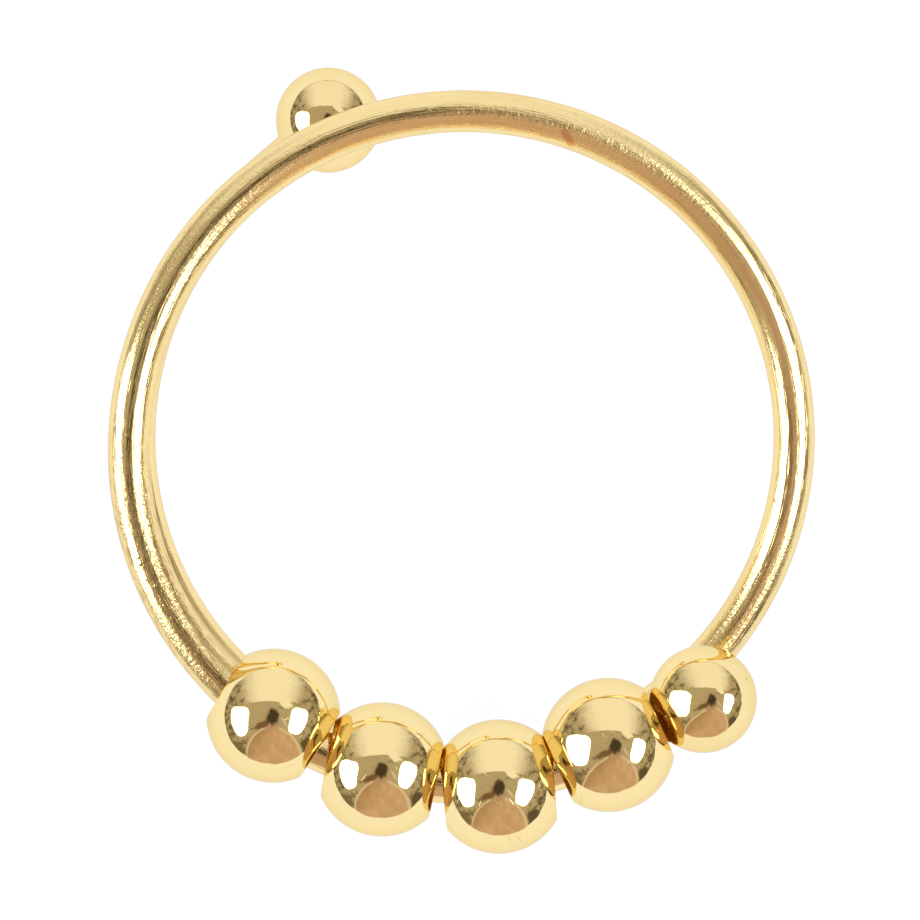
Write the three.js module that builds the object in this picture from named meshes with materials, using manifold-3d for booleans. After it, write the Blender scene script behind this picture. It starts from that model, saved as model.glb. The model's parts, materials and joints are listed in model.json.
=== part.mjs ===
// An open-coil finger ring with four sliding beads, lying on its side.
// A round wire makes a little over one and a half turns and carries a soldered ball at each end.
// The beads are threaded on the upper turn and slide along it. Millimetres, +Z up.

import * as THREE from 'three';
import { mergeVertices } from 'three/addons/utils/BufferGeometryUtils.js';
import Module from 'manifold-3d';

const wasm = await Module();
wasm.setup();

// ---- driving dimensions -------------------------------------------------------------

// The wire. Both turns are flat arcs, seen from above, angles counter-clockwise from +X.
const WIRE_DIAMETER = 1.25;
const TURN_RADIUS = 9.97;
const TURN_SPACING = 2.9; // centre line to centre line, along the coil's axis
const LOWER_TURN_SHIFT = 0.29; // the lower turn sits this far towards +Y

// The wire runs clockwise from the upper ball, and drops to the lower turn on the +X side.
const DROP_START = 98;
const DROP_END = -48;

// Each end is left straight for the last stretch before its ball.
const UPPER_BEND_ANGLE = 298.3;
const LOWER_BEND_ANGLE = -229.1;
const UPPER_TAIL = 2.71;
const LOWER_TAIL = 3.21;
const END_BALL_DIAMETER = 3.2;

// A bead is a ball with a straight drilled hole, faced off square at both mouths.
const BEAD_DIAMETER = 4;
const BEAD_LENGTH = 3.3;
const BEAD_HOLE_DIAMETER = 2.04;

// Where each bead hangs on the upper turn: its angle, how far its centre is pushed out from
// the wire's centre line, how far it turns off the tangent, and how far it hangs down.
const BEADS = [
  { name: 'bead_1', angle: 234.7, out: -0.19, turn: 3.2, drop: 0.1 },
  { name: 'bead_2', angle: 255.8, out: -0.09, turn: 3.0, drop: 0.1 },
  { name: 'bead_3', angle: 275.9, out: 0.17, turn: -1.0, drop: 0.04 },
  { name: 'bead_4', angle: 295.9, out: -0.13, turn: -3.0, drop: 0.1 },
];

// Facets
const WIRE_SIDES = 16;
const WIRE_STEPS = 150;
const BALL_SIDES = 28;
const BALL_RINGS = 18;
const BEAD_SIDES = 36;
const BEAD_ARC_STEPS = 12;

const POLISHED_GOLD = { color: 0xe8bd62, roughness: 0.12, metalness: 1 };

// ---- the wire's centre line ---------------------------------------------------------

const radians = THREE.MathUtils.degToRad;

// How far the wire has dropped at this angle: 0 on the upper turn and 1 on the lower one,
// with an even slope between soft ends
function dropAt(angle) {
  const share = THREE.MathUtils.clamp((DROP_START - angle) / (DROP_START - DROP_END), 0, 1);
  const swing = 2 * share - 1;
  return 0.5 + (5 * swing - swing ** 5) / 8;
}

// A point of the bent part of the wire, in the coil's own frame: its axis is Z, and the
// lower turn's centre line lies at height 0
function bentPoint(angle) {
  const drop = dropAt(angle);
  return new THREE.Vector3(
    TURN_RADIUS * Math.cos(radians(angle)),
    TURN_RADIUS * Math.sin(radians(angle)) + LOWER_TURN_SHIFT * drop,
    TURN_SPACING * (1 - drop),
  );
}

// The direction of a straight end that leaves the bend at this angle, counter-clockwise
function tangentAt(angle) {
  return new THREE.Vector3(-Math.sin(radians(angle)), Math.cos(radians(angle)), 0);
}

class CoilLine extends THREE.Curve {
  constructor() {
    super();
    this.bend = TURN_RADIUS * radians(UPPER_BEND_ANGLE - LOWER_BEND_ANGLE);
    this.whole = UPPER_TAIL + this.bend + LOWER_TAIL;
    this.arcLengthDivisions = 2000;
  }

  getPoint(t, target = new THREE.Vector3()) {
    const along = t * this.whole;
    const intoBend = along - UPPER_TAIL;
    if (intoBend < 0) {
      return target
        .copy(tangentAt(UPPER_BEND_ANGLE))
        .multiplyScalar(-intoBend)
        .add(bentPoint(UPPER_BEND_ANGLE));
    }
    if (intoBend > this.bend) {
      return target
        .copy(tangentAt(LOWER_BEND_ANGLE))
        .multiplyScalar(this.bend - intoBend)
        .add(bentPoint(LOWER_BEND_ANGLE));
    }
    const angle = THREE.MathUtils.lerp(UPPER_BEND_ANGLE, LOWER_BEND_ANGLE, intoBend / this.bend);
    return target.copy(bentPoint(angle));
  }
}

// ---- solids -------------------------------------------------------------------------

function solidOf(geometry) {
  const bare = geometry.clone();
  bare.deleteAttribute('normal');
  bare.deleteAttribute('uv');
  const merged = mergeVertices(bare);
  const mesh = new wasm.Mesh({
    numProp: 3,
    vertProperties: new Float32Array(merged.getAttribute('position').array),
    triVerts: new Uint32Array(merged.getIndex().array),
  });
  return new wasm.Manifold(mesh);
}

function geometryOf(solid) {
  const mesh = solid.getMesh();
  const geometry = new THREE.BufferGeometry();
  geometry.setAttribute('position', new THREE.BufferAttribute(mesh.vertProperties, 3));
  geometry.setIndex(new THREE.BufferAttribute(mesh.triVerts, 1));
  geometry.computeVertexNormals();
  return geometry;
}

function ballAt(centre) {
  const ball = new THREE.SphereGeometry(END_BALL_DIAMETER / 2, BALL_SIDES, BALL_RINGS);
  ball.translate(centre.x, centre.y, centre.z);
  return solidOf(ball);
}

// The wire and both soldered balls are one solid.
function coilBand(line) {
  const section = new THREE.Shape();
  section.absarc(0, 0, WIRE_DIAMETER / 2, 0, 2 * Math.PI);
  const wire = new THREE.ExtrudeGeometry(section, {
    extrudePath: line,
    steps: WIRE_STEPS,
    curveSegments: WIRE_SIDES / 2, // a full arc gets two sides for each
    bevelEnabled: false,
  });
  const solid = solidOf(wire)
    .add(ballAt(line.getPoint(0)))
    .add(ballAt(line.getPoint(1)));
  return geometryOf(solid);
}

// A drilled bead about the Y axis: its profile goes over the ball from mouth to mouth and
// back through the hole.
function drilledBead() {
  const radius = BEAD_DIAMETER / 2;
  const mouthAngle = Math.asin(BEAD_LENGTH / BEAD_DIAMETER);
  const profile = [];
  for (let step = 0; step <= BEAD_ARC_STEPS; step += 1) {
    const latitude = THREE.MathUtils.lerp(-mouthAngle, mouthAngle, step / BEAD_ARC_STEPS);
    profile.push(new THREE.Vector2(radius * Math.cos(latitude), radius * Math.sin(latitude)));
  }
  profile.push(new THREE.Vector2(BEAD_HOLE_DIAMETER / 2, BEAD_LENGTH / 2));
  profile.push(new THREE.Vector2(BEAD_HOLE_DIAMETER / 2, -BEAD_LENGTH / 2));
  profile.push(profile[0].clone());
  return new THREE.LatheGeometry(profile, BEAD_SIDES);
}

function goldMesh(name, geometry) {
  const mesh = new THREE.Mesh(geometry, new THREE.MeshStandardMaterial(POLISHED_GOLD));
  mesh.name = name;
  return mesh;
}

// ---- assembly -----------------------------------------------------------------------

const line = new CoilLine();

// The lower ball is fatter than the wire, so the coil leans on it: the +Y side is lifted
// until the ball's underside and the wire's lowest point, at -Y, lie on one plane.
const coil = new THREE.Group();
const ballY = line.getPoint(1).y;
const lowestWireY = LOWER_TURN_SHIFT - TURN_RADIUS;
const lean = Math.asin((END_BALL_DIAMETER - WIRE_DIAMETER) / 2 / (ballY - lowestWireY));
coil.rotation.x = lean;
coil.position.z = WIRE_DIAMETER / 2 - lowestWireY * Math.sin(lean);

coil.add(goldMesh('coil_band', coilBand(line)));

for (const bead of BEADS) {
  const mesh = goldMesh(bead.name, drilledBead());
  mesh.position.x = TURN_RADIUS + bead.out;
  mesh.position.z = TURN_SPACING - bead.drop;
  mesh.rotation.z = radians(bead.turn);
  const place = new THREE.Group();
  place.rotation.z = radians(bead.angle);
  place.add(mesh);
  coil.add(place);
}

// The origin is the bottom centre of the whole ring's box.
const ring = new THREE.Group();
ring.add(coil);
const box = new THREE.Box3().setFromObject(ring, true);
const middle = box.getCenter(new THREE.Vector3());
ring.position.set(-middle.x, -middle.y, -box.min.z);

export default ring;
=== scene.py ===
import json
import math

import bpy
from mathutils import Matrix, Vector


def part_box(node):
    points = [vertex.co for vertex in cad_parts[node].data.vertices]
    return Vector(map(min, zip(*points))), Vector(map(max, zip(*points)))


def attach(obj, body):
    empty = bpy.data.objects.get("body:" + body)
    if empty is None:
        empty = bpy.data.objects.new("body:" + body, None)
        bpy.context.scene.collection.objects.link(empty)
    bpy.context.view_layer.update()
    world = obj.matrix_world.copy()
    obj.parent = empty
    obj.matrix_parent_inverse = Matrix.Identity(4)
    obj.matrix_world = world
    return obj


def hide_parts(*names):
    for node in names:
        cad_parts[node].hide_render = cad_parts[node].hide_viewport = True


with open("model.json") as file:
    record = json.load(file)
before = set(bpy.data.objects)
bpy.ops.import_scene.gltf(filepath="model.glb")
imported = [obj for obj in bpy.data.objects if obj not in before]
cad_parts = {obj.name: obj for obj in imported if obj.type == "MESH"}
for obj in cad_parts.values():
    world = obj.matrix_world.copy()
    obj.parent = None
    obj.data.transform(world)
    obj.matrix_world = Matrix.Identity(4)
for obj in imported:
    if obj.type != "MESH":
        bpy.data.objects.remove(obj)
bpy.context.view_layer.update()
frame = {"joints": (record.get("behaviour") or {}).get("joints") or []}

# A fidget ring of gold-plated brass: an open coil of round wire with a ball soldered to each
# end, and four drilled ball beads that slide along its upper turn. Metres, +Z up.

MM = 0.001

# ---- the ring's sizes -----------------------------------------------------------------

WIRE_RADIUS = 1.25 / 2 * MM
TURN_RADIUS = 9.97 * MM
TURN_SPACING = 2.9 * MM
LOWER_TURN_SHIFT = 0.29 * MM
END_BALL_RADIUS = 3.2 / 2 * MM
UPPER_TAIL = 2.71 * MM
LOWER_TAIL = 3.21 * MM
UPPER_BALL_LOPSIDED = 0.16  # how much its front rises to one side
SOLDER_FILLET = 0.1 * MM

# The turn is a touch flat on its left.
FLAT_DEPTH = 0.045 * MM
FLAT_ANGLE = math.radians(165)
FLAT_SPREAD = math.radians(22)

# Angles on the coil, counter-clockwise from +X seen from above
DROP_START = math.radians(98)
DROP_END = math.radians(-48)
UPPER_BEND_ANGLE = math.radians(298.3)
LOWER_BEND_ANGLE = math.radians(-229.1)

BEAD_RADIUS = 4 / 2 * MM
BEAD_HOLE_RADIUS = 2.04 / 2 * MM
BEAD_EDGE_RADIUS = 0.09 * MM

# How far each bead is turned off the wire's own direction where it hangs, and how much its
# front rises to one side
BEADS = [
    {"name": "bead_1", "turn": math.radians(3.2), "lopsided": 0},
    {"name": "bead_2", "turn": math.radians(3.0), "lopsided": 0},
    {"name": "bead_3", "turn": math.radians(-1.0), "lopsided": 0},
    {"name": "bead_4", "turn": math.radians(-1.5), "lopsided": 0.11},
]

# The coil's own frame, from the axis that the beads slide about: its Z is the coil's axis,
# and its origin is the middle of the upper turn.
slide = frame["joints"][0]
COIL_AXIS = -Vector(slide["axis"])
COIL_Y = COIL_AXIS.cross(Vector((1, 0, 0)))
COIL_AXES = Matrix(((1, 0, 0), COIL_Y, COIL_AXIS)).transposed()
COIL_FRAME = Matrix.Translation(slide["pos_m"]) @ COIL_AXES.to_4x4()

# ---- the camera -----------------------------------------------------------------------

CAMERA_DISTANCE = 132 * MM
CAMERA_AIM = Vector((-0.107, -0.386, 0)) * MM  # in the coil's own frame
FRAME_WIDTH = 27.32 * MM  # what the picture spans at the upper turn
SENSOR_WIDTH = 36


def make_camera():
    """The camera looks straight down the coil's axis."""
    data = bpy.data.cameras.new("camera")
    data.sensor_width = SENSOR_WIDTH
    data.lens = SENSOR_WIDTH * CAMERA_DISTANCE / FRAME_WIDTH
    data.clip_start = CAMERA_DISTANCE / 100
    camera = bpy.data.objects.new("camera", data)
    bpy.context.scene.collection.objects.link(camera)
    above = CAMERA_AIM + Vector((0, 0, CAMERA_DISTANCE))
    camera.matrix_world = COIL_FRAME @ Matrix.Translation(above)
    bpy.context.scene.camera = camera


# ---- small helpers --------------------------------------------------------------------


def linear(hex_colour):
    """An sRGB hex colour such as "f8e0a0" as linear red, green, blue and 1."""
    shares = [int(hex_colour[i : i + 2], 16) / 255 for i in (0, 2, 4)]
    return [s / 12.92 if s < 0.04045 else ((s + 0.055) / 1.055) ** 2.4 for s in shares] + [1]


def add_node(tree, kind, inputs=(), output=0, **settings):
    """Adds a node, sets its properties, and fills or links its inputs, which come as a list
    in the node's own order or as a table. Gives one of its outputs, if it has any."""
    node = tree.nodes.new(kind)
    for name, value in settings.items():
        setattr(node, name, value)
    for name, value in inputs.items() if isinstance(inputs, dict) else enumerate(inputs):
        if isinstance(value, bpy.types.NodeSocket):
            tree.links.new(value, node.inputs[name])
        else:
            node.inputs[name].default_value = value
    return node.outputs[output] if node.outputs else None


def new_material(name):
    """A material with no nodes yet."""
    material = bpy.data.materials.new(name)
    material.use_nodes = True
    material.node_tree.nodes.clear()
    return material


def add_piece(name, points, faces, way, material):
    """A smooth mesh whose points also carry way, a place on the metal in millimetres."""
    mesh = bpy.data.meshes.new(name)
    mesh.from_pydata(points, [], faces)
    mesh.shade_smooth()
    attribute = mesh.attributes.new("way", "FLOAT_VECTOR", "POINT")
    for item, value in zip(attribute.data, way):
        item.vector = value
    mesh.materials.append(material)
    piece = bpy.data.objects.new(name, mesh)
    bpy.context.scene.collection.objects.link(piece)
    return piece


def ring_faces(ring_count, side_count):
    """Quads between rings of points that follow each other in the point list."""
    return [
        (
            ring * side_count + side,
            ring * side_count + (side + 1) % side_count,
            (ring + 1) * side_count + (side + 1) % side_count,
            (ring + 1) * side_count + side,
        )
        for ring in range(ring_count - 1)
        for side in range(side_count)
    ]


def lopsided(point, centre, radius, slope):
    """Lifts the front of a ball on its +X side and lowers it on the other, as in a ball that
    isn't quite round, by at most 0.385 * slope * radius."""
    x, y, z = (point - centre) / radius
    lift = radius * slope * x * z * z if z > 0 else 0
    return point + Vector((0, 0, lift))


# ---- the coil -------------------------------------------------------------------------


def bent_point(angle):
    """The wire's centre line at this angle of its bent part, in the coil's own frame."""
    share = min(max((DROP_START - angle) / (DROP_START - DROP_END), 0), 1)
    swing = 2 * share - 1
    drop = 0.5 + (5 * swing - swing**5) / 8
    radius = TURN_RADIUS - FLAT_DEPTH * math.exp(-(((angle - FLAT_ANGLE) / FLAT_SPREAD) ** 2))
    return Vector(
        (
            radius * math.cos(angle),
            radius * math.sin(angle) + LOWER_TURN_SHIFT * drop,
            -TURN_SPACING * drop,
        )
    )


def clockwise(angle):
    """The direction that the wire runs in here, away from the upper ball."""
    return Vector((math.sin(angle), -math.cos(angle), 0))


BEND_LENGTH = TURN_RADIUS * (UPPER_BEND_ANGLE - LOWER_BEND_ANGLE)
WIRE_LENGTH = UPPER_TAIL + BEND_LENGTH + LOWER_TAIL


def wire_point(along):
    """The centre line at this distance from the upper ball's centre, and past both balls."""
    into_bend = along - UPPER_TAIL
    if into_bend < 0:
        return bent_point(UPPER_BEND_ANGLE) + clockwise(UPPER_BEND_ANGLE) * into_bend
    if into_bend > BEND_LENGTH:
        past = into_bend - BEND_LENGTH
        return bent_point(LOWER_BEND_ANGLE) + clockwise(LOWER_BEND_ANGLE) * past
    share = into_bend / BEND_LENGTH
    return bent_point(UPPER_BEND_ANGLE + (LOWER_BEND_ANGLE - UPPER_BEND_ANGLE) * share)


def coil_radius(from_ball):
    """The metal's radius at this distance from the nearer end ball's centre."""
    ball = math.sqrt(max(END_BALL_RADIUS**2 - from_ball**2, 0))
    if from_ball < 0:
        return ball
    near = max(SOLDER_FILLET - abs(ball - WIRE_RADIUS), 0) / SOLDER_FILLET
    return max(ball, WIRE_RADIUS) + near * near * SOLDER_FILLET / 4


BALL_STEPS = 64
WIRE_STEP = 0.12 * MM
COIL_SIDES = 48


def coil_stations():
    """Distances along the wire of the coil's rings of points: fine over each ball, even
    between them."""
    ball = [-END_BALL_RADIUS * math.cos(math.pi * i / BALL_STEPS) for i in range(1, BALL_STEPS)]
    first = ball[-1] + WIRE_STEP
    count = round((WIRE_LENGTH - 2 * first) / WIRE_STEP)
    even = [first + (WIRE_LENGTH - 2 * first) * i / count for i in range(count + 1)]
    return ball + even + [WIRE_LENGTH - along for along in reversed(ball)]


def make_coil(material):
    """The wire and both balls are one skin, swept along the centre line."""
    points, way = [], []
    stations = coil_stations()
    for along in stations:
        centre = wire_point(along)
        onward = (wire_point(along + MM / 100) - wire_point(along - MM / 100)).normalized()
        outward = onward.cross(Vector((0, 0, -1))).normalized()
        downward = outward.cross(onward)
        radius = coil_radius(min(along, WIRE_LENGTH - along))
        for side in range(COIL_SIDES):
            turn = 2 * math.pi * side / COIL_SIDES
            across = outward * math.cos(turn) + downward * math.sin(turn)
            point = centre + across * radius
            if along < END_BALL_RADIUS:
                point = lopsided(point, wire_point(0), END_BALL_RADIUS, UPPER_BALL_LOPSIDED)
            points.append(COIL_FRAME @ point)
            way.append((radius * math.cos(turn) / MM, radius * math.sin(turn) / MM, along / MM))
    faces = ring_faces(len(stations), COIL_SIDES)

    # A fan of faces closes each ball at its far point.
    last_ring = len(points) - COIL_SIDES
    upper_tip = len(points)
    lower_tip = upper_tip + 1
    for along in (-END_BALL_RADIUS, WIRE_LENGTH + END_BALL_RADIUS):
        points.append(COIL_FRAME @ wire_point(along))
        way.append((0, 0, along / MM))
    for side in range(COIL_SIDES):
        following = (side + 1) % COIL_SIDES
        faces.append((following, side, upper_tip))
        faces.append((last_ring + side, last_ring + following, lower_tip))
    return add_piece("coil", points, faces, way, material)


# ---- the beads ------------------------------------------------------------------------

BEAD_SIDES = 144
BEAD_ARC_STEPS = 96
EDGE_STEPS = 8
HOLE_STEPS = 12
BEAD_WAY_SHIFT = 10  # millimetres from one bead's way to the next


def bead_profile():
    """A bead's closed section as (distance from the axis, height along it): over the ball
    from mouth to mouth, round the edge, and back through the hole."""
    # The rounded edge touches the ball and the hole's wall, so it is centred between them.
    edge = BEAD_EDGE_RADIUS
    edge_out = BEAD_HOLE_RADIUS + edge
    edge_up = math.sqrt((BEAD_RADIUS - edge) ** 2 - edge_out**2)
    latitude = math.atan2(edge_up, edge_out)
    rim = []
    for i in range(EDGE_STEPS + 1):
        angle = latitude + (math.pi - latitude) * i / EDGE_STEPS
        rim.append((edge_out + edge * math.cos(angle), edge_up + edge * math.sin(angle)))
    arc = []
    for i in range(1, BEAD_ARC_STEPS):
        angle = latitude * (2 * i / BEAD_ARC_STEPS - 1)
        arc.append((BEAD_RADIUS * math.cos(angle), BEAD_RADIUS * math.sin(angle)))
    top = rim[-1][1]
    hole = [(BEAD_HOLE_RADIUS, top * (1 - 2 * i / HOLE_STEPS)) for i in range(1, HOLE_STEPS)]
    lower = [(x, -y) for x, y in reversed(rim)]
    return arc + rim + hole + lower


def make_bead(name, turn, slope, number, material):
    """A drilled ball at the middle of this bead's solid. Its number shifts way along the
    hole, so that no two beads have the same marks."""
    low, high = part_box(name)
    centre = COIL_FRAME.inverted() @ ((low + high) / 2)
    heading = math.atan2(centre.y, centre.x) + turn
    place = Matrix.Translation(centre) @ Matrix.Rotation(heading, 4, "Z")
    points, way = [], []
    profile = bead_profile()
    for out, up in profile:
        for side in range(BEAD_SIDES):
            angle = 2 * math.pi * side / BEAD_SIDES
            point = Vector((out * math.cos(angle), up, out * math.sin(angle)))
            points.append(COIL_FRAME @ lopsided(place @ point, centre, BEAD_RADIUS, slope))
            way.append(point / MM + Vector((0, BEAD_WAY_SHIFT * number, 0)))
    faces = ring_faces(len(profile), BEAD_SIDES)
    last = (len(profile) - 1) * BEAD_SIDES
    for side in range(BEAD_SIDES):
        following = (side + 1) % BEAD_SIDES
        faces.append((last + side, last + following, following, side))
    return add_piece(f"ball_{name}", points, faces, way, material)


# ---- metal ----------------------------------------------------------------------------

GOLD = linear("f9df98")
GOLD_EDGE = linear("f2e9cf")  # the tint at a glancing look

# Sizes of what shows on the wire's skin, in millimetres across, across and along the wire.
# Real draw lines are about 0.02 mm wide: these are coarser, so that they show.
DRAW_LINES = (0.11, 0.11, 2.8)
FINE_LINES = (0.05, 0.05, 1.4)
STREAKS = (0.06, 0.06, 2.2)
UNEVEN = (0.45, 0.45, 1.1)
GRAIN = (0.14, 0.14, 0.11)
TARNISH = (0.12, 0.12, 0.4)
CLOUDS = (2, 2, 3.3)

# Where the wire's skin is worn and grainy, in millimetres along it, and how much
GRAINY_STRETCHES = [
    {"start": 13, "end": 25, "worn": 1},
    {"start": 25, "end": 38, "worn": 0.6},
    {"start": 34, "end": 51, "worn": 0.9},
    {"start": 56, "end": 64, "worn": 0.7},
]
RUBBED_STRETCH = GRAINY_STRETCHES[0]  # next to the beads, which rub on it
LEAST_WORN = 0.12

STAIN_ANGLE = math.radians(71.9)
STAIN_ALONG = (UPPER_TAIL + TURN_RADIUS * (UPPER_BEND_ANGLE - STAIN_ANGLE)) / MM
STAIN_PLACE = (-0.3, -0.5, STAIN_ALONG)  # a place in way, on the upper inner side
STAIN_SIZE = (0.42, 0.42, 0.13)  # half its size in millimetres, long way first
STAIN_SLANT = math.radians(50)  # off straight across the wire
STAIN_EDGE = (0.2, 0.2, 0.2)  # how coarsely its edge is ragged

# Sizes on a bead, along its own way: its hole lies along the second axis. Real hairlines are
# about 0.01 mm wide, and these are coarser too.
RIPPLE = (1.1, 1.1, 1.1)
HAIRLINES = (0.05, 0.9, 0.9)
HAIRLINE_TURNS = (math.radians(65), math.radians(115))


# A map range's list is the value, the two bounds that it runs between, and what it gives at
# each: 0 and 1 where the list leaves them out. A colour mix has its share as input 0, its two
# colours as inputs 6 and 7, and the mixed colour as output 2.


def way_noise(tree, way, size, detail, roughness=0.5, turn=0, offset=0):
    """Noise over the metal. Its size along each axis of way is in millimetres, and turn
    turns those axes about the third."""
    place = {
        "Vector": way,
        "Scale": size,
        "Rotation": (0, 0, turn),
        "Location": (offset, offset, offset),
    }
    spread = add_node(tree, "ShaderNodeMapping", place, vector_type="TEXTURE")
    noise = {"Vector": spread, "Scale": 1, "Detail": detail, "Roughness": roughness}
    return add_node(tree, "ShaderNodeTexNoise", noise, "Fac")


def hairlines(tree, way, turn, offset):
    """Short straight scratches that lie this way over the front of a bead; 1 on a scratch."""
    lines = way_noise(tree, way, HAIRLINES, 1, turn=turn, offset=offset)
    return add_node(tree, "ShaderNodeMapRange", [lines, 0.745, 0.8], interpolation_type="SMOOTHSTEP")


def pits(tree, way, per_mm, size, share):
    """Round pits in a share of the cells of a grid this fine; 1 in a pit, 0 outside. Their
    size is a share of a cell."""
    grid = {"Vector": way, "Scale": per_mm}
    from_middle = add_node(tree, "ShaderNodeTexVoronoi", grid, "Distance")
    cell = from_middle.node.outputs["Color"]
    lot = add_node(tree, "ShaderNodeSeparateXYZ", [cell], "X")
    chosen = add_node(tree, "ShaderNodeMath", [lot, share], operation="LESS_THAN")
    pit = add_node(
        tree, "ShaderNodeMapRange", [from_middle, 0, size, 1, 0], interpolation_type="SMOOTHSTEP"
    )
    return add_node(tree, "ShaderNodeMath", [pit, chosen], operation="MULTIPLY")


def plated_metal(material, marks, bumps, roughness):
    """Gold plating on brass, which mirrors all round it. Each mark is a share, 0 to 1, and
    the colour it gives the gold. Each bump is a height, 0 to 1, its depth in metres and its
    strength."""
    tree = material.node_tree
    colour = GOLD
    for share, mark in marks:
        layers = {0: share, 6: colour, 7: linear(mark)}
        colour = add_node(tree, "ShaderNodeMix", layers, 2, data_type="RGBA")
    skin = None
    for height, depth, strength in bumps:
        relief = {"Height": height, "Distance": depth, "Strength": strength}
        if skin:
            relief["Normal"] = skin
        skin = add_node(tree, "ShaderNodeBump", relief)
    plating = {
        "Base Color": colour,
        "Metallic": 1,
        "Roughness": roughness,
        "Specular Tint": GOLD_EDGE,
        "Normal": skin,
    }
    gold = add_node(tree, "ShaderNodeBsdfPrincipled", plating)
    add_node(tree, "ShaderNodeOutputMaterial", {"Surface": gold})
    return material


def stretch(tree, along, start, end):
    """1 in the middle of this stretch of the wire, falling softly to 0 at its ends."""
    soft = (end - start) / 3
    rise = [along, start, start + soft]
    fall = [along, end - soft, end, 1, 0]
    begun = add_node(tree, "ShaderNodeMapRange", rise, interpolation_type="SMOOTHSTEP")
    not_over = add_node(tree, "ShaderNodeMapRange", fall, interpolation_type="SMOOTHSTEP")
    return add_node(tree, "ShaderNodeMath", [begun, not_over], operation="MULTIPLY")


def worn_grain(tree, along):
    """How grainy the wire's skin is here, 0 to 1."""
    share = LEAST_WORN
    for row in GRAINY_STRETCHES:
        here = stretch(tree, along, row["start"], row["end"])
        patch = add_node(tree, "ShaderNodeMath", [here, row["worn"]], operation="MULTIPLY")
        share = add_node(tree, "ShaderNodeMath", [share, patch], operation="MAXIMUM")
    return share


def off_the_balls(tree, along):
    """1 on the wire and 0 on the balls at its ends, which are polished like the beads."""
    upper = END_BALL_RADIUS / MM
    lower = WIRE_LENGTH / MM - upper
    soft = 0.1  # millimetres
    on_upper = [along, upper - soft, upper + soft, 1, 0]
    on_lower = [along, lower - soft, lower + soft]
    balls = [
        add_node(tree, "ShaderNodeMapRange", reach, interpolation_type="SMOOTHSTEP")
        for reach in (on_upper, on_lower)
    ]
    on_ball = add_node(tree, "ShaderNodeMath", balls, operation="MAXIMUM")
    return add_node(tree, "ShaderNodeMath", [1, on_ball], operation="SUBTRACT")


def stain(tree, way):
    """A reddish streak where the plating is thin, slanting over the upper turn's inner side."""
    place = {
        "Vector": way,
        "Location": STAIN_PLACE,
        "Rotation": (0, STAIN_SLANT, 0),
        "Scale": STAIN_SIZE,
    }
    from_stain = add_node(tree, "ShaderNodeMapping", place, vector_type="TEXTURE")
    reach = add_node(tree, "ShaderNodeVectorMath", [from_stain], "Value", operation="LENGTH")
    noise = way_noise(tree, way, STAIN_EDGE, 2)
    edge = add_node(tree, "ShaderNodeMath", [noise, 0.6], operation="MULTIPLY")
    ragged = add_node(tree, "ShaderNodeMath", [reach, edge], operation="ADD")
    stained = add_node(
        tree, "ShaderNodeMapRange", [ragged, 0.9, 1.5, 1, 0], interpolation_type="SMOOTHSTEP"
    )
    return add_node(tree, "ShaderNodeMath", [stained, 0.5], operation="MULTIPLY")


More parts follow.
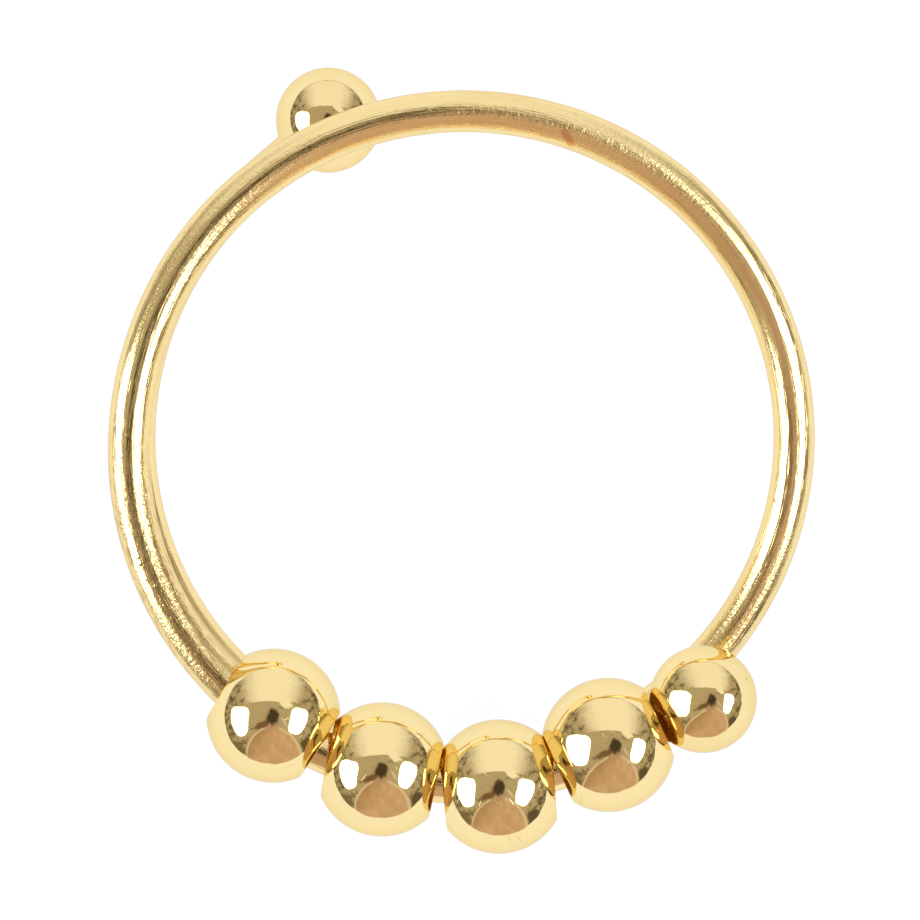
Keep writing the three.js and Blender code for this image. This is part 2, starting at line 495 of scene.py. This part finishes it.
def wire_finish():
    """Drawn brass wire plated with gold. Long draw lines stretch what the wire mirrors into
    stripes, a slightly uneven skin bends them, and pits and rubbed metal speckle them."""
    material = new_material("drawn_gold_plated_brass_wire")
    tree = material.node_tree
    way = add_node(tree, "ShaderNodeAttribute", output="Vector", attribute_name="way")
    along = add_node(tree, "ShaderNodeSeparateXYZ", [way], "Z")
    on_wire = off_the_balls(tree, along)
    worn = worn_grain(tree, along)
    rubbed = stretch(tree, along, RUBBED_STRETCH["start"], RUBBED_STRETCH["end"])

    draw_lines = way_noise(tree, way, DRAW_LINES, 3)
    fine_lines = way_noise(tree, way, FINE_LINES, 2, offset=3)
    uneven = way_noise(tree, way, UNEVEN, 2)
    grain = way_noise(tree, way, GRAIN, 3, 0.6)
    grains = add_node(tree, "ShaderNodeMath", [grain, worn], operation="MULTIPLY")

    few_pits = pits(tree, way, per_mm=2.4, size=0.16, share=0.12)
    close_pits = pits(tree, way, per_mm=5.5, size=0.3, share=0.5)
    rubbed_pits = add_node(tree, "ShaderNodeMath", [close_pits, rubbed], operation="MULTIPLY")
    pitted = add_node(tree, "ShaderNodeMath", [few_pits, rubbed_pits], operation="MAXIMUM")
    unpitted = add_node(tree, "ShaderNodeMath", [1, pitted], operation="SUBTRACT")

    clouds = [way_noise(tree, way, CLOUDS, 3), 0.4, 0.7]
    cloudy = add_node(tree, "ShaderNodeMapRange", clouds, interpolation_type="SMOOTHSTEP")
    spots = [way_noise(tree, way, TARNISH, 3), 0.45, 0.7, 0, 0.5]
    spotted = add_node(tree, "ShaderNodeMapRange", spots, interpolation_type="SMOOTHSTEP")
    tarnished = add_node(tree, "ShaderNodeMath", [spotted, rubbed], operation="MULTIPLY")
    in_pits = add_node(tree, "ShaderNodeMath", [pitted, 0.6], operation="MULTIPLY")
    streaks = [way_noise(tree, way, STREAKS, 2, offset=9), 0.5, 0.68, 0, 0.2]
    streaky = add_node(tree, "ShaderNodeMapRange", streaks, interpolation_type="SMOOTHSTEP")
    worn_streaks = add_node(tree, "ShaderNodeMath", [streaky, worn], operation="MULTIPLY")
    streaked = add_node(tree, "ShaderNodeMath", [worn_streaks, on_wire], operation="MULTIPLY")

    dull_lines = add_node(
        tree,
        "ShaderNodeMapRange",
        [draw_lines, 0.3, 0.7, 0.03, 0.1],
        interpolation_type="SMOOTHSTEP",
    )
    dull_grain = add_node(tree, "ShaderNodeMath", [worn, 0.04], operation="MULTIPLY")
    dull = add_node(tree, "ShaderNodeMath", [dull_lines, dull_grain], operation="ADD")
    dull_wire = add_node(tree, "ShaderNodeMath", [dull, on_wire], operation="MULTIPLY")
    roughness = add_node(tree, "ShaderNodeMath", [dull_wire, 0.05], operation="ADD")

    marks = [
        (cloudy, "f6db94"),
        (tarnished, "b48c50"),
        (in_pits, "9b7438"),
        (streaked, "c08a4c"),
        (stain(tree, way), "d0843e"),
    ]
    bumps = [
        (draw_lines, 0.008 * MM, on_wire),
        (fine_lines, 0.01 * MM, on_wire),
        (uneven, 0.009 * MM, 1),
        (grains, 0.018 * MM, on_wire),
        (unpitted, 0.01 * MM, 1),
    ]
    return plated_metal(material, marks, bumps, roughness)


def bead_finish():
    """Brass beads plated with gold and polished to a clear mirror, with a faint ripple,
    hairline scratches and a few pits. The drilled hole was never polished, so it is dull."""
    material = new_material("polished_gold_plated_brass_bead")
    tree = material.node_tree
    way = add_node(tree, "ShaderNodeAttribute", output="Vector", attribute_name="way")

    ripple = way_noise(tree, way, RIPPLE, 2)
    scratches = [hairlines(tree, way, turn, 7 * i) for i, turn in enumerate(HAIRLINE_TURNS)]
    scratched = add_node(tree, "ShaderNodeMath", scratches, operation="MAXIMUM")
    few_pits = pits(tree, way, per_mm=1.8, size=0.08, share=0.3)
    marked = add_node(tree, "ShaderNodeMath", [scratched, few_pits], operation="MAXIMUM")
    unmarked = add_node(tree, "ShaderNodeMath", [1, marked], operation="SUBTRACT")
    in_marks = add_node(tree, "ShaderNodeMath", [marked, 0.4], operation="MULTIPLY")

    off_axis = add_node(tree, "ShaderNodeVectorMath", [way, (1, 0, 1)], operation="MULTIPLY")
    from_axis = add_node(tree, "ShaderNodeVectorMath", [off_axis], "Value", operation="LENGTH")
    wall = BEAD_HOLE_RADIUS / MM
    hole = [from_axis, wall + 0.003, wall + 0.02, 1, 0]
    in_hole = add_node(tree, "ShaderNodeMapRange", hole, interpolation_type="SMOOTHSTEP")

    dull_marks = add_node(tree, "ShaderNodeMath", [marked, 0.2], operation="MULTIPLY")
    dull_hole = add_node(tree, "ShaderNodeMath", [in_hole, 0.5], operation="MULTIPLY")
    dull = add_node(tree, "ShaderNodeMath", [0.045, dull_marks], operation="ADD")
    roughness = add_node(tree, "ShaderNodeMath", [dull, dull_hole], operation="ADD")

    marks = [(in_marks, "b08a4e"), (in_hole, "ffdf9c")]
    bumps = [(ripple, 0.018 * MM, 1), (unmarked, 0.0015 * MM, 1)]
    return plated_metal(material, marks, bumps, roughness)


# ---- the studio -----------------------------------------------------------------------

STAGE_DISTANCE = 600 * MM
FLOOR_SIZE = 6000 * MM
CARD_CORNERS = 64

COOL_LIGHT = (0.991, 1.022, 1.232, 1)
CEILING = "b9af9b"
DARK_CORNER = "625a4a"
REFLECTOR_WHITE = "fffefa"


def cool(hex_colour):
    """A colour in the studio's light, which is a little bluer than white."""
    return [share * tint for share, tint in zip(linear(hex_colour), COOL_LIGHT)]


def lit(name, colour, strength=1, cover=None, sampling="NONE"):
    """A glowing cloth or wall; where cover is under 1, what is behind it shows through."""
    material = new_material(name)
    tree = material.node_tree
    material.cycles.emission_sampling = sampling
    shown = colour(tree) if callable(colour) else colour
    surface = add_node(tree, "ShaderNodeEmission", [shown, strength])
    if cover:
        clear = add_node(tree, "ShaderNodeBsdfTransparent")
        surface = add_node(tree, "ShaderNodeMixShader", [cover(tree), clear, surface])
    add_node(tree, "ShaderNodeOutputMaterial", {"Surface": surface})
    return material


def across_card(tree):
    """A place on a card, -1 to 1 across it and up it."""
    place = add_node(tree, "ShaderNodeTexCoord", output="Generated")
    spread = {"Vector": place, "Location": (-1, -1, 0), "Scale": (2, 2, 0)}
    return add_node(tree, "ShaderNodeMapping", spread)


def ragged_edge(tree, reach, noise, ragged, start, end):
    """1 where reach is under start and 0 where it is over end, made uneven by the noise."""
    centred = add_node(tree, "ShaderNodeMath", [noise, 0.5], operation="SUBTRACT")
    shift = add_node(tree, "ShaderNodeMath", [centred, ragged], operation="MULTIPLY")
    uneven = add_node(tree, "ShaderNodeMath", [reach, shift], operation="ADD")
    return add_node(
        tree, "ShaderNodeMapRange", [uneven, start, end, 1, 0], interpolation_type="SMOOTHSTEP"
    )


def soft_round(tree):
    """1 in the middle of a card, falling unevenly to 0 at its edge."""
    place = across_card(tree)
    reach = add_node(tree, "ShaderNodeVectorMath", [place], "Value", operation="LENGTH")
    noise = add_node(tree, "ShaderNodeTexNoise", {"Vector": place, "Scale": 1.6, "Detail": 2}, "Fac")
    return ragged_edge(tree, reach, noise, 0.9, 0.5, 0.95)


def soft_sides(tree):
    """1 over most of a card, falling to 0 at its left and right ends, in uneven streaks."""
    place = across_card(tree)
    sideways = add_node(tree, "ShaderNodeSeparateXYZ", [place], "X")
    reach = add_node(tree, "ShaderNodeMath", [sideways], operation="ABSOLUTE")
    level = add_node(tree, "ShaderNodeMapping", {"Vector": place, "Scale": (0.8, 7, 1)})
    streaks = add_node(tree, "ShaderNodeTexNoise", {"Vector": level, "Scale": 1, "Detail": 3}, "Fac")
    return ragged_edge(tree, reach, streaks, 0.3, 0.22, 0.95)


def uneven_tan(tree):
    """The tan wall's colour: cloudy, and in shade towards its upper left."""
    place = across_card(tree)
    noise = add_node(tree, "ShaderNodeTexNoise", {"Vector": place, "Scale": 3.5, "Detail": 4}, "Fac")
    clouds = add_node(
        tree, "ShaderNodeMapRange", [noise, 0.35, 0.65], interpolation_type="SMOOTHSTEP"
    )
    paint = {0: clouds, 6: cool("c9ab95"), 7: cool("d5b9a6")}
    wall = add_node(tree, "ShaderNodeMix", paint, 2, data_type="RGBA")
    off_corner = add_node(
        tree, "ShaderNodeVectorMath", [place, (1.2, -1, 0)], "Value", operation="DOT_PRODUCT"
    )
    shade = add_node(
        tree,
        "ShaderNodeMapRange",
        [off_corner, -1.6, -0.5, 0.75, 0],
        interpolation_type="SMOOTHSTEP",
    )
    shaded = {0: shade, 6: wall, 7: cool("a98a6e")}
    return add_node(tree, "ShaderNodeMix", shaded, 2, data_type="RGBA")


def add_card(
    name,
    material,
    azimuth,
    elevation,
    width,
    height,
    squareness=2,
    roll=0,
    rise=0,
    taper=0,
    distance=1,
):
    """A card that faces the ring from this direction in degrees, azimuth counter-clockwise
    from +X. Its width, height and rise are shares of its distance; squareness 2 is an ellipse,
    and more is closer to a rectangle. Seen from behind the card, looking at the ring, taper
    makes its right end less tall and its left end taller, and roll turns it
    counter-clockwise."""
    away = STAGE_DISTANCE * distance
    heading, tilt = math.radians(azimuth), math.radians(elevation)
    toward = Vector(
        (
            math.cos(heading) * math.cos(tilt),
            math.sin(heading) * math.cos(tilt),
            math.sin(tilt),
        )
    )
    across = Vector((-math.sin(heading), math.cos(heading), 0))
    axes = Matrix((across, toward.cross(across), toward)).transposed().to_4x4()
    points = []
    for i in range(CARD_CORNERS):
        turn = 2 * math.pi * i / CARD_CORNERS
        x, y = math.cos(turn), math.sin(turn)
        x = math.copysign(abs(x) ** (2 / squareness), x) * width / 2
        y = math.copysign(abs(y) ** (2 / squareness), y) * height / 2
        y *= 1 - taper * x / (width / 2)
        points.append(Vector((x, y + rise, 0)) * away)
    mesh = bpy.data.meshes.new(name)
    mesh.from_pydata(points, [], [tuple(range(CARD_CORNERS))])
    mesh.materials.append(material)
    card = bpy.data.objects.new(name, mesh)
    facing = axes @ Matrix.Rotation(math.radians(roll), 4, "Z")
    card.matrix_world = Matrix.Translation(toward * away) @ facing
    card.visible_camera = False
    bpy.context.scene.collection.objects.link(card)


def make_floor():
    """A white acrylic sheet lit from below, so that the ring's shadow on it is faint."""
    mesh = bpy.data.meshes.new("floor")
    half = FLOOR_SIZE / 2
    corners = [(-half, -half, 0), (half, -half, 0), (half, half, 0), (-half, half, 0)]
    mesh.from_pydata(corners, [], [(0, 1, 2, 3)])
    acrylic = new_material("backlit_white_acrylic")
    acrylic.cycles.emission_sampling = "NONE"
    backlit = {
        "Base Color": linear("505052"),
        "Roughness": 1,
        "Specular IOR Level": 0,
        "Emission Color": cool("fafbfb"),
        "Emission Strength": 0.99,
    }
    sheet = add_node(acrylic.node_tree, "ShaderNodeBsdfPrincipled", backlit)
    add_node(acrylic.node_tree, "ShaderNodeOutputMaterial", {"Surface": sheet})
    mesh.materials.append(acrylic)
    floor = bpy.data.objects.new("floor", mesh)
    bpy.context.scene.collection.objects.link(floor)


def make_cards():
    """What the gold mirrors: two white softboxes, a white reflector behind, a tan wall in
    front with a painted highlight along its edge, the dark camera with its arms, and a dark
    doorway at each side."""
    white = lit("softbox_cloth", cool("ffffff"), 5, sampling="FRONT_BACK")
    reflector = lit("reflector_cloth", cool(REFLECTOR_WHITE), cover=soft_sides)
    corner = lit("reflector_corner_cloth", cool(REFLECTOR_WHITE), cover=soft_round)
    tan = lit("tan_wall", uneven_tan)
    # Painted highlight: a pale glowing cloth that shows as a lit edge round the tan wall.
    tan_edge_highlight = lit("tan_wall_edge_highlight", cool("e0d0c4"))
    dark = lit("dark_camera", cool("4a4234"), cover=soft_round)
    arm = lit("brown_arm", cool("7a634b"), cover=soft_round)
    shade = lit("arm_shade", cool("bba094"), cover=soft_round)
    streak = lit("pale_lamp_arm", cool("dcd0c8"), cover=soft_round)
    left_corner = lit("left_doorway", cool("7d7362"), cover=soft_round)
    right_corner = lit("right_doorway", cool(DARK_CORNER), cover=soft_round)

    # name, cloth, azimuth, elevation, width and height
    add_card("left_softbox", white, 190, 31.5, 0.78, 0.58, squareness=3.5, roll=-6, taper=0.28)
    add_card("right_softbox", white, -13, 44, 0.76, 0.52, squareness=3.5, roll=-5, taper=-0.2)
    add_card("back_reflector", reflector, 90, 33, 2.9, 1.25, squareness=9)
    add_card("reflector_corner", corner, 42, 60, 0.55, 0.3, roll=20, distance=0.6)
    add_card("tan_card", tan, -90, 35, 1.56, 2.82, rise=-0.7)
    # A pale card just behind the tan card and a little larger than it: a painted highlight along the
    # tan wall's edge.
    add_card("tan_card_edge_highlight", tan_edge_highlight, -89, 35, 1.74, 2.97, rise=-0.7, distance=1.05)
    add_card("camera_body", dark, -90, 88, 0.5, 0.62, distance=0.4)
    add_card("camera_arm", arm, 223, 67, 0.26, 0.78, roll=-15, distance=0.41)
    add_card("camera_arm_shade", shade, 250, 75, 0.9, 0.5, roll=15, distance=0.42)
    add_card("lamp_arm", streak, -31, 67, 0.5, 0.09, roll=64, distance=0.43)
    add_card("left_doorway", left_corner, 222, 3, 0.55, 0.5, distance=1.1)
    add_card("right_doorway", right_corner, -41, 8, 0.45, 0.6, distance=1.1)


def make_room():
    """The room round the cards: a warm grey ceiling, darker and uneven lower down. The
    camera sees plain white instead."""
    world = bpy.data.worlds.new("studio_room")
    world.use_nodes = True
    tree = world.node_tree
    tree.nodes.clear()
    direction = add_node(tree, "ShaderNodeTexCoord", output="Generated")
    height = add_node(tree, "ShaderNodeSeparateXYZ", [direction], "Z")
    noise = {"Vector": direction, "Scale": 7, "Detail": 3, "Roughness": 0.6}
    clutter = add_node(tree, "ShaderNodeTexNoise", noise, "Fac")
    high = add_node(tree, "ShaderNodeMath", [height, 0.25], operation="MULTIPLY")
    low = add_node(tree, "ShaderNodeMath", [clutter, high], operation="SUBTRACT")
    dark = add_node(tree, "ShaderNodeMapRange", [low, 0.36, 0.62], interpolation_type="SMOOTHSTEP")
    walls = {0: dark, 6: cool(CEILING), 7: cool(DARK_CORNER)}
    colour = add_node(tree, "ShaderNodeMix", walls, 2, data_type="RGBA")
    room = add_node(tree, "ShaderNodeBackground", {"Color": colour, "Strength": 1})
    backdrop = add_node(tree, "ShaderNodeBackground", {"Color": linear("ffffff"), "Strength": 1})
    seen = add_node(tree, "ShaderNodeLightPath", output="Is Camera Ray")
    both = add_node(tree, "ShaderNodeMixShader", [seen, room, backdrop])
    add_node(tree, "ShaderNodeOutputWorld", {"Surface": both})
    world.cycles.sampling_method = "NONE"
    bpy.context.scene.world = world


# ---- the scene ------------------------------------------------------------------------

make_camera()

wire_gold = wire_finish()
bead_gold = bead_finish()

coil = make_coil(wire_gold)
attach(coil, "coil")
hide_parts("coil_band")

for number, bead in enumerate(BEADS):
    ball = make_bead(bead["name"], bead["turn"], bead["lopsided"], number, bead_gold)
    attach(ball, bead["name"])
    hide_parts(bead["name"])

make_floor()
make_cards()
make_room()

bpy.context.scene.view_settings.view_transform = "Standard"
# Light goes to and fro many times in the narrow gaps between the beads.
bpy.context.scene.cycles.max_bounces = 8
bpy.context.scene.cycles.glossy_bounces = 8
